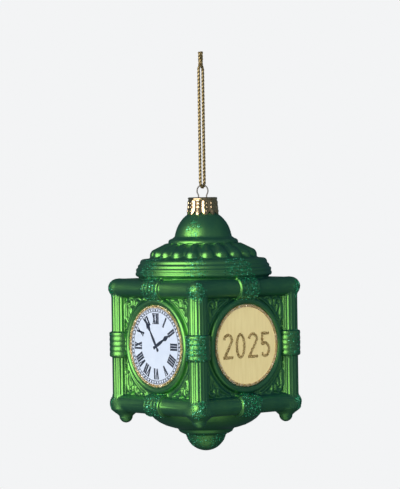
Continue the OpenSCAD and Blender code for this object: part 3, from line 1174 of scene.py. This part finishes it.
@dataclass
class GreenGlitter:
    """The patches of green glitter glued on the glass, each a layer of its own."""

    layout: Layout
    form: GlassForm
    surface: bpy.types.Mesh
    strewer: Strewer
    per_mm2: float = 6.5
    flake_mm: float = 0.22

    def fade(self, distance: np.ndarray, soft: float) -> np.ndarray:
        """Returns 1 well inside a patch, falling to 0 outside it."""
        return np.clip(0.5 - distance / soft, 0, 1)

    def masks(self, p: np.ndarray) -> dict[str, np.ndarray]:
        """Works out the cover of each patch.

        Args:
            p: the glass's vertices in millimetres, with heights from the finial's tip.

        Returns:
            The cover of every vertex, by patch.
        """
        form = self.form
        x, y, z = p.T
        ax, ay = np.abs(x), np.abs(y)
        side = np.hypot(ax - form.post_reach, ay - form.post_reach)
        rough = ragged(p, 7.0, 1.0)
        fine = 0.65 + 0.35 * ragged(p, 2.2, 4.0)
        out = np.maximum(ax, ay) > form.panel + 0.7
        collar = np.abs(z - self.layout.face_z) - form.collar_half
        round_post = np.arctan2(y - np.sign(y) * form.post_reach, x - np.sign(x) * form.post_reach)
        off = np.degrees(round_post - np.arctan2(np.sign(y), np.sign(x)))
        off = apart(off, -20)
        corners = [(x > 0) & (y < 0), (x < 0) & (y > 0), x > 0]
        share = np.select(corners, [1.0, 0.9, 0.3], 0.12)
        made = {
            "post_collar_glitter": self.fade(collar + 1.2 * rough, 1.5)
            * self.fade((off - 62) / 10 + rough, 2.0)
            * (side < form.post_collar_r + 0.6)
            * share
            * fine
            * out
        }
        rails = (("top_rail_glitter", form.high_rail), ("bottom_rail_glitter", form.low_rail))
        for name, level in rails:
            along = np.minimum(ax, ay) - form.collar_half
            near = np.hypot(np.maximum(ax, ay) - form.rail_reach, z - level)
            near = near < form.rail_collar_r + 0.5
            made[name] = self.fade(along + 2.0 * rough + 0.8, 1.5) * near * out * 0.7 * fine
        for name, level, shift in (
            ("top_corner_glitter", form.high_rail, -1.0),
            ("bottom_corner_glitter", form.low_rail, -0.5),
        ):
            ball = np.sqrt((ax - 31.0) ** 2 + (ay - 31.0) ** 2 + (z - level - shift) ** 2) - 4.2
            made[name] = self.fade(ball + 1.0 * rough, 2.0) * out * fine
        turn = np.degrees(np.arctan2(y, x))
        radius = np.hypot(x, y)
        roof = (z > 80.5) & (z < 93) & (radius > 22)
        rings = np.zeros(len(p))
        for centre, half in ((-96, 9), (-48, 8), (-9, 13), (86, 10), (132, 8), (170, 12)):
            lift = np.abs(z - 85.0) - 4.0
            patch = self.fade((apart(turn, centre) - half) / 2.5 + rough, 2.0)
            rings = np.maximum(rings, patch * self.fade(lift, 2.5))
        made["roof_glitter"] = rings * roof * 0.6 * fine
        dome = np.zeros(len(p))
        for centre in (-63, 57, 177):
            off = np.radians(apart(turn, centre)) * 12
            dome = np.maximum(dome, self.fade(np.hypot(off, (z - 102.5) * 0.9) - 3.4 + rough, 2.2))
        made["dome_glitter"] = dome * ((z > 96) & (z < 108.4) & (radius > 8)) * 0.6 * fine
        finial = self.fade(np.abs(z - 5.2) - 2.6 + 1.4 * rough, 2.5)
        made["finial_glitter"] = finial * (z < 9.5) * 0.5 * fine
        return made

    def build(self) -> list[bpy.types.Object]:
        """Strews every patch.

        Returns:
            The pieces of flakes.
        """
        points = positions(self.surface) / MM
        points[:, 2] -= self.layout.tip
        made = []
        for seed, (node, cover) in enumerate(self.masks(points).items(), start=3):
            obj = self.strewer.strew(
                node.replace("glitter", "flakes"),
                self.surface,
                cover,
                Finish.GREEN_FLAKES,
                self.per_mm2,
                self.flake_mm,
                seed,
            )
            made.append(place_piece(obj, "glass", Finish.GREEN_FLAKES, node))
        return made


RINGS = tuple(f"glitter_ring_{side}" for side in ("front", "back", "right", "left"))
YEARS = tuple(f"year_numerals_{side}" for side in ("right", "left"))


@dataclass
class GoldGlitter:
    """The glitter rings and the glitter numbers, strewn on the frame's own shapes."""

    strewer: Strewer
    ring_per_mm2: float = 12.0
    number_per_mm2: float = 9.0
    ring_grain_mm: float = 0.26
    number_grain_mm: float = 0.17

    def build(self) -> list[bpy.types.Object]:
        """Strews every ring and number.

        Returns:
            The pieces of grains.
        """
        made = []
        for seed, node in enumerate(RINGS + YEARS, start=31):
            is_ring = node in RINGS
            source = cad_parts[node].data
            obj = self.strewer.strew(
                f"{node}_grains",
                source,
                np.ones(len(source.vertices), np.float32),
                Finish.GOLD_FLAKES,
                self.ring_per_mm2 if is_ring else self.number_per_mm2,
                self.ring_grain_mm if is_ring else self.number_grain_mm,
                seed,
                tilt_deg=50.0,
                tints=(0.25, 1.0) if is_ring else (0.0, 0.6),
            )
            stands_for = () if is_ring else (node,)
            made.append(place_piece(obj, "glass", Finish.GOLD_FLAKES, *stands_for))
        return made


# ---------------------------------------------------------------- cord, wire and cap


def run_along(path: np.ndarray) -> np.ndarray:
    """Returns how far each point of a path lies along it."""
    return np.concatenate([[0], np.cumsum(np.linalg.norm(np.diff(path, axis=0), axis=1))])


def swept_tube(
    name: str,
    path: np.ndarray,
    section: Callable[[float], np.ndarray],
    material: bpy.types.Material,
    closed: bool,
) -> bpy.types.Object:
    """Sweeps a changing section along a path without letting it roll.

    Args:
        name: the piece's name.
        path: the centreline, in metres.
        section: gives the section's [across, up] points, in metres, at a distance along the path.
        material: the tube's material.
        closed: whether the path's end joins its start.

    Returns:
        The tube.
    """
    count = len(path)
    run = run_along(path)
    ahead = np.roll(path, -1, 0) - np.roll(path, 1, 0) if closed else np.gradient(path, axis=0)
    ahead /= np.linalg.norm(ahead, axis=1)[:, None]
    across = np.cross(ahead[0], [0.3, 0.5, 0.8])
    rings = []
    for i in range(count):
        across = across - ahead[i] * (across @ ahead[i])
        across = across / np.linalg.norm(across)
        up = np.cross(ahead[i], across)
        shape = section(float(run[i]))
        rings.append(path[i] + shape[:, :1] * across + shape[:, 1:] * up)
    sides = len(rings[0])
    faces = []
    for i in range(count if closed else count - 1):
        a, b = i * sides, ((i + 1) % count) * sides
        faces += [(a + k, a + (k + 1) % sides, b + (k + 1) % sides, b + k) for k in range(sides)]
    if not closed:
        faces += [tuple(range(sides))[::-1], tuple(range((count - 1) * sides, count * sides))]
    return mesh_object(name, np.vstack(rings), faces, material)


def smooth_path(points: np.ndarray, gap: float, closed: bool) -> np.ndarray:
    """Runs a smooth curve through points and spaces it evenly.

    Args:
        points: the points to pass through, in metres.
        gap: the spacing wanted.
        closed: whether the curve closes on itself.

    Returns:
        The curve's points.
    """
    count = len(points)
    spans = count if closed else count - 1
    dense = []
    for i in range(spans):
        if closed:
            p = [points[(i + k) % count] for k in (-1, 0, 1, 2)]
        else:
            p = [points[min(max(i + k, 0), count - 1)] for k in (-1, 0, 1, 2)]
        for t in np.linspace(0, 1, 24, endpoint=False):
            dense.append(
                0.5
                * (
                    2 * p[1]
                    + (p[2] - p[0]) * t
                    + (2 * p[0] - 5 * p[1] + 4 * p[2] - p[3]) * t**2
                    + (3 * p[1] - p[0] - 3 * p[2] + p[3]) * t**3
                )
            )
    dense.append(points[0] if closed else points[-1])
    line = np.array(dense)
    run = run_along(line)
    steps = max(2, int(round(run[-1] / gap)))
    wanted = np.linspace(0, run[-1], steps + 1)
    even = np.stack([np.interp(wanted, run, line[:, k]) for k in range(3)], 1)
    return even[:-1] if closed else even


@dataclass
class CordLoop:
    """The twisted cord: one loop under the wire's crown, closed by its knot at the top."""

    paint: Paintbox
    diameter: float = 1.2
    loop_turn: float = 27.0
    lobes: int = 2
    lay_mm: float = 3.4
    half_route: tuple[tuple[float, float], ...] = (
        (0, -55.4), (0.9, -55.2), (1.7, -54.7), (2.2, -54), (2.4, -53), (2.4, -48), (2.4, -42),
        (2.4, -36), (2.4, -30), (2.4, -24), (2.4, -18), (2.4, -12), (2.4, -6), (2.4, -1.8),
        (2.2, -0.8), (1.7, -0.1), (0.9, 0.4), (0, 0.6),
    )

    def world(self, side: float, up: float, out: float = 0.0) -> np.ndarray:
        """Turns a point of the cord's plane into the row frame.

        Args:
            side: how far along the plane, in millimetres.
            up: how high.
            out: how far off the plane.

        Returns:
            The point, in metres.
        """
        a = math.radians(self.loop_turn)
        across = -side * math.sin(a) + out * math.cos(a)
        deep = side * math.cos(a) + out * math.sin(a)
        return np.array([across, deep, up]) * MM

    def twisted(self, spin: float, turns: float, length: float) -> Callable[[float], np.ndarray]:
        """Makes the section of two plies that turn about each other along the cord.

        Args:
            spin: the section's turn at the start.
            turns: how many times the plies go round.
            length: the cord's length, in metres.

        Returns:
            A function that gives the section's outline at a distance along the cord.
        """
        r = self.diameter / 2 * MM

        def section(run: float) -> np.ndarray:
            """The section's outline at a distance along the cord."""
            phase = spin + FULL_TURN * turns * run / length
            angle = np.linspace(0, FULL_TURN, 16, endpoint=False)
            reach = r * (0.78 + 0.42 * np.abs(np.cos((angle - phase) * self.lobes / 2)) ** 0.8)
            return np.stack([reach * np.cos(angle), reach * np.sin(angle)], 1)

        return section

    def crowns(self, obj: bpy.types.Object, path: np.ndarray) -> None:
        """Marks how far each vertex stands out, which the thread's material uses to paint shade
        between the plies.

        Args:
            obj: the cord or knot.
            path: its centreline.
        """
        points = positions(obj.data)
        sides = len(points) // len(path)
        away = np.linalg.norm(points.reshape(len(path), sides, 3) - path[:, None], axis=2).ravel()
        low, high = away.min(), away.max()
        set_values(obj.data, "crown", (away - low) / max(high - low, 1e-9))

    def build(self) -> list[bpy.types.Object]:
        """Builds the cord and its knot.

        Returns:
            The two pieces.
        """
        half = [self.world(*p) for p in self.half_route]
        back = [self.world(-p[0], p[1]) for p in self.half_route[-2:0:-1]]
        path = smooth_path(np.array(half + back), 0.22 * MM, closed=True)
        closed_path = np.vstack([path, path[:1]])
        length = float(run_along(closed_path)[-1])
        turns = round(length / (self.lay_mm * MM))
        thread = self.paint.get(Finish.THREAD)
        section = self.twisted(0.0, turns, length)
        cord = swept_tube("gold_cord_loop", path, section, thread, closed=True)
        self.crowns(cord, path)
        place_piece(cord, "cord", Finish.THREAD, "hang_cord")
        knot = self.build_knot(thread)
        log.info("cord loop is %.1f mm long", length / MM)
        return [cord, knot]

    def build_knot(self, thread: bpy.types.Material) -> bpy.types.Object:
        """Builds the knot as a tight overhand turn with two cut tails.

        Args:
            thread: the thread's material.

        Returns:
            The knot.
        """
        centre, ring, wave, gap = 1.8, 0.62, 0.36, 0.35
        angle = np.linspace(gap, FULL_TURN - gap, 40)
        turns = [
            self.world(
                ring * (math.sin(a) + 2 * math.sin(2 * a)) * 0.5,
                centre + ring * (math.cos(a) - 2 * math.cos(2 * a)) * 0.5,
                -math.sin(3 * a) * wave,
            )
            for a in angle
        ]
        tails = [
            [self.world(1.35, 7.0), self.world(1.1, 5.2), self.world(0.75, 3.6, 0.2)],
            [self.world(-0.75, 3.6, -0.2), self.world(-1.1, 5.2), self.world(-1.35, 6.8)],
        ]
        route = np.array(tails[0] + turns + tails[1])
        path = smooth_path(route, 0.25 * MM, closed=False)
        length = float(run_along(path)[-1])
        section = self.twisted(0.4, round(length / (self.lay_mm * MM)), length)
        knot = swept_tube("cord_knot_turn", path, section, thread, closed=False)
        self.crowns(knot, path)
        return place_piece(knot, "cord", Finish.THREAD, "cord_knot")


@dataclass
class WireHanger:
    """The spring wire: a round loop, a reverse bend into the cap and two splayed legs."""

    paint: Paintbox
    wire_r: float = 0.3
    loop_r: float = 2.7
    bend_r: float = 1.5
    leg_x: float = 2.0
    splay_drop: float = 4.6
    splay_fillet: float = 0.8
    splay_reach: float = 4.35
    turn: float = 27.0
    sides: int = 14

    def half_line(self) -> list[tuple[float, float]]:
        """Draws the right half of the wire, from its crown down to a leg's end.

        Returns:
            Its points, as [sideways, up].
        """
        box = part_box("hanger_wire")
        top = box[1].z / MM - self.wire_r
        low = box[0].z / MM + 0.4
        bend_x = self.leg_x + self.bend_r
        span = self.loop_r + self.bend_r
        angle = math.degrees(math.acos(bend_x / span))
        centre = top - self.loop_r
        arc = np.radians(np.linspace(90, -angle, 26))
        line = [(self.loop_r * math.cos(a), centre + self.loop_r * math.sin(a)) for a in arc]
        bend_z = centre - span * math.sin(math.radians(angle))
        arc = np.radians(np.linspace(180 - angle, 180, 9))[1:]
        bend = self.bend_r
        line += [(bend_x + bend * math.cos(a), bend_z + bend * math.sin(a)) for a in arc]
        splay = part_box("crown_cap")[1].z / MM - self.splay_drop + self.splay_fillet
        line += [(self.leg_x, z) for z in np.linspace(bend_z, splay, 10)[1:]]
        spread = self.splay_reach - self.leg_x
        line += [
            (self.leg_x + spread * t**1.15, splay + (low - splay) * t)
            for t in np.linspace(0, 1, 20)[1:]
        ]
        return line

    def build(self) -> bpy.types.Object:
        """Builds the wire.

        Returns:
            The piece.
        """
        half = self.half_line()
        both = [(-x, z) for x, z in half[:0:-1]] + half
        a = math.radians(self.turn)
        path = np.array([(x * math.cos(a), x * math.sin(a), z) for x, z in both]) * MM
        ring = np.linspace(0, FULL_TURN, self.sides, endpoint=False)
        circle = np.stack([np.cos(ring), np.sin(ring)], 1) * self.wire_r * MM

        def section(run: float) -> np.ndarray:
            """The wire is equally round all along."""
            return circle

        steel = self.paint.get(Finish.WIRE)
        wire = swept_tube("spring_wire_loop", path, section, steel, closed=False)
        return place_piece(wire, "hanger", Finish.WIRE, "hanger_wire")


@dataclass
class CrownCap:
    """The stamped cap: a flat top with a rolled edge and a scalloped, embossed skirt."""

    paint: Paintbox
    sheet_mm: float = 0.3
    roll_r: float = 0.7
    edge: float = 0.75
    lobes: int = 12
    around: int = 480
    scallop_mm: float = 1.9

    def build(self) -> bpy.types.Object:
        """Builds the cap.

        Returns:
            The piece.
        """
        low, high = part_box("crown_cap")
        top = high.z / MM
        bottom = low.z / MM
        skirt_r = (high.x - low.x) / 2 / MM
        top_r = skirt_r - 0.6
        flat_r, roll = top_r - self.edge, self.roll_r
        rows = [(r, top) for r in np.linspace(0.9, flat_r, 12)]
        rows += [
            (flat_r + roll * math.sin(a), top - roll + roll * math.cos(a))
            for a in np.radians(np.linspace(12, 90, 8))
        ]
        rows += [(None, s) for s in np.linspace(0.02, 1, 70)]
        angle = np.linspace(0, FULL_TURN, self.around, endpoint=False)
        pitch = FULL_TURN / self.lobes
        within = (np.mod(angle + pitch / 2, pitch) - pitch / 2) / pitch
        points = [np.array([[0.0, 0.0, top]])]
        for r, level in rows:
            if r is None:
                scallop = bottom + self.scallop_mm * (1 - np.cos(within * math.pi) ** 0.8)
                z = (top - self.edge) + (scallop - (top - self.edge)) * level
                drop = top - z
                flare = 0.5 * np.clip((drop - 3.4) / 4.2, 0, 1)
                radius = top_r - 0.16 + flare + self.emboss(within, drop, top_r)
            else:
                z = np.full(self.around, level)
                radius = np.full(self.around, r)
            points.append(np.stack([radius * np.cos(angle), radius * np.sin(angle), z], 1))
        n = self.around
        faces = [(0, 1 + k, 1 + (k + 1) % n) for k in range(n)]
        for i in range(len(rows) - 1):
            a, b = 1 + i * n, 1 + (i + 1) * n
            faces += [(a + k, b + k, b + (k + 1) % n, a + (k + 1) % n) for k in range(n)]
        plating = self.paint.get(Finish.CAP)
        cap = mesh_object("stamped_crown_cap", np.vstack(points) * MM, faces, plating)
        wall = cap.modifiers.new("sheet", "SOLIDIFY")
        wall.thickness = self.sheet_mm * MM
        wall.offset = -1
        applied(cap)
        cap.data.shade_smooth()
        return place_piece(cap, "cap", Finish.CAP, "crown_cap")

    def emboss(self, within: np.ndarray, drop: np.ndarray, radius: float) -> np.ndarray:
        """The skirt's relief: a bulge in each lobe, with a figure of rings on it.

        Args:
            within: the place across a lobe, from -0.5 to 0.5.
            drop: how far below the cap's top.
            radius: the skirt's radius.

        Returns:
            How far the skirt stands out there.
        """
        bulge = 0.34 * np.cos(within * math.pi) ** 2 * np.clip((drop - 0.9) / 1.0, 0, 1)
        side = within * FULL_TURN / self.lobes * radius
        figure = 0.0
        for level, ring_r in ((2.7, 0.68), (4.5, 0.72), (6.3, 0.4)):
            away = np.hypot(side, drop - level) - ring_r
            figure = np.maximum(figure, 0.22 * np.exp(-((away / 0.17) ** 2)))
        rim = 0.12 * np.exp(-(((drop - 1.2) / 0.2) ** 2))
        return bulge + figure + rim - 0.22


# ---------------------------------------------------------------- studio


@dataclass(frozen=True)
class Studio:
    """A pale floor that sweeps up behind the ornament, soft lights and a long lens."""

    azimuth: float = 49.5
    distance: float = 1.25
    lens: float = 200.0
    sensor: float = 36.0
    eye_above_tip: float = 0.1205
    aim_above_tip: float = 0.0949
    aim_aside: float = -0.0015
    roll: float = 0.85
    middle: float = -0.12
    sky: str = "#BBDCEC"
    sky_glow: float = 0.13

    def outward(self, azimuth: float) -> Vector:
        """Returns the level direction from the ornament towards an azimuth in degrees."""
        a = math.radians(azimuth)
        return Vector((math.sin(a), -math.cos(a), 0))

    def camera(self, tip: float) -> None:
        """Places the camera.

        Args:
            tip: the height of the finial's tip, in metres.
        """
        data = bpy.data.cameras.new("camera")
        data.lens = self.lens
        data.sensor_width = self.sensor
        data.clip_start = 0.05
        camera = link(bpy.data.objects.new("camera", data))
        eye = self.outward(self.azimuth) * self.distance
        eye.z = tip + self.eye_above_tip
        camera.location = eye
        aim = self.outward(self.azimuth + 90) * self.aim_aside
        aim.z = tip + self.aim_above_tip
        look = (aim - eye).to_track_quat("-Z", "Y")
        roll = Matrix.Rotation(math.radians(-self.roll), 4, "Z").to_quaternion()
        camera.rotation_mode = "QUATERNION"
        camera.rotation_quaternion = look @ roll
        bpy.context.scene.camera = camera

    def sweep(self, tip: float) -> None:
        """Builds a round floor that sweeps up into a wall all round, lit evenly of its own.

        Args:
            tip: the height of the finial's tip, in metres.
        """
        floor, reach, bend, top = tip - 0.16, 2.6, 0.5, 2.4
        line = [(0.02, floor)]
        line += [
            (reach - bend + bend * math.sin(a), floor + bend - bend * math.cos(a))
            for a in np.radians(np.linspace(0, 90, 12))
        ]
        line += [(reach, floor + top)]
        count = 48
        turns = np.linspace(0, FULL_TURN, count, endpoint=False)
        points = [(r * math.cos(a), r * math.sin(a), z) for r, z in line for a in turns]
        faces = [tuple(range(count))]
        for i in range(len(line) - 1):
            a, b = i * count, (i + 1) * count
            for j in range(count):
                k = (j + 1) % count
                faces.append((a + j, a + k, b + k, b + j))
        sheet = mesh_object("paper_sweep", np.array(points), faces, PaperGlow().make())
        sheet.visible_glossy = False
        sheet.visible_diffuse = False

    def soft_light(
        self,
        name: str,
        azimuth: float,
        height: float,
        away: float,
        size: tuple[float, float],
        glow: float,
        mirrored: bool = True,
    ) -> None:
        """Adds a soft box that faces the ornament.

        Args:
            name: the light's name.
            azimuth: where it stands round the ornament, in degrees.
            height: how high above the ornament's middle, in metres.
            away: how far away, in metres.
            size: its width and height.
            glow: how bright its face is, in watts per square metre and steradian.
            mirrored: whether glossy surfaces reflect it.
        """
        data = bpy.data.lights.new(name, "AREA")
        data.shape = "RECTANGLE"
        data.size, data.size_y = size
        data.energy = glow * math.pi * size[0] * size[1]
        light = link(bpy.data.objects.new(name, data))
        light.visible_camera = False
        light.visible_glossy = mirrored
        light.location = self.outward(azimuth) * away + Vector((0, 0, height + self.middle))
        light.rotation_mode = "QUATERNION"
        facing = Vector((0, 0, self.middle)) - light.location
        light.rotation_quaternion = facing.to_track_quat("-Z", "Y")

    def build(self, tip: float) -> None:
        """Sets up the sweep, lights and world.

        Args:
            tip: the height of the finial's tip, in metres.
        """
        self.sweep(tip)
        front = self.azimuth
        self.soft_light("key", front - 46, 0.22, 0.85, (0.95, 0.8), 3.7)
        self.soft_light("wide_fill", front + 34, 0.15, 1.0, (1.4, 1.0), 0.07)
        self.soft_light("floor_bounce", front - 10, -0.9, 0.5, (1.2, 1.2), 0.3)
        self.soft_light("paper_fill", front + 50, 0.3, 0.9, (1.2, 1.2), 1.7, mirrored=False)
        world = bpy.data.worlds.new("studio")
        world.use_nodes = True
        back = world.node_tree.nodes["Background"]
        back.inputs["Color"].default_value = linear(self.sky)
        back.inputs["Strength"].default_value = self.sky_glow
        bpy.context.scene.world = world
        bpy.context.scene.view_settings.view_transform = "Standard"


# ---------------------------------------------------------------- whole ornament


def dress(paint: Paintbox) -> None:
    """Gives the frame's own nodes that stay on show their finishes.

    Args:
        paint: the finishes.
    """
    wanted = {
        Finish.DIAL: ("dial_front", "dial_back"),
        Finish.INK: ("dial_print_front", "dial_print_back"),
        Finish.DISC: ("year_disc_right", "year_disc_left"),
        Finish.GOLD_FLAKES: RINGS,
    }
    for finish, nodes in wanted.items():
        for node in nodes:
            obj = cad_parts[node]
            obj.data.materials.clear()
            obj.data.materials.append(paint.get(finish))
            log.info("%s dressed as %s", node, finish.value)


def main() -> None:
    """Builds the studio and the ornament in order."""
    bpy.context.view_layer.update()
    layout = Layout.read()
    paint = Paintbox()
    studio = Studio()
    studio.camera(layout.tip * MM)
    CordLoop(paint).build()
    WireHanger(paint).build()
    CrownCap(paint).build()
    glass = GlassBody(layout, paint)
    glass.build()
    strewer = Strewer(paint)
    GreenGlitter(layout, GlassForm(layout), glass.dense, strewer).build()
    dress(paint)
    GoldGlitter(strewer).build()
    studio.build(layout.tip * MM)


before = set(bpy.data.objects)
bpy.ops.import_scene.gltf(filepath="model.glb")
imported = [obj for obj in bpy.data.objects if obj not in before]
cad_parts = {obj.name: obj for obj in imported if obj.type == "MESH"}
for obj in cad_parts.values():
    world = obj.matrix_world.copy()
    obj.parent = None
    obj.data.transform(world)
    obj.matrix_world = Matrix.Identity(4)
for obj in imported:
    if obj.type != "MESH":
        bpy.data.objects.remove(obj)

if __name__ == "__main__":
    main()
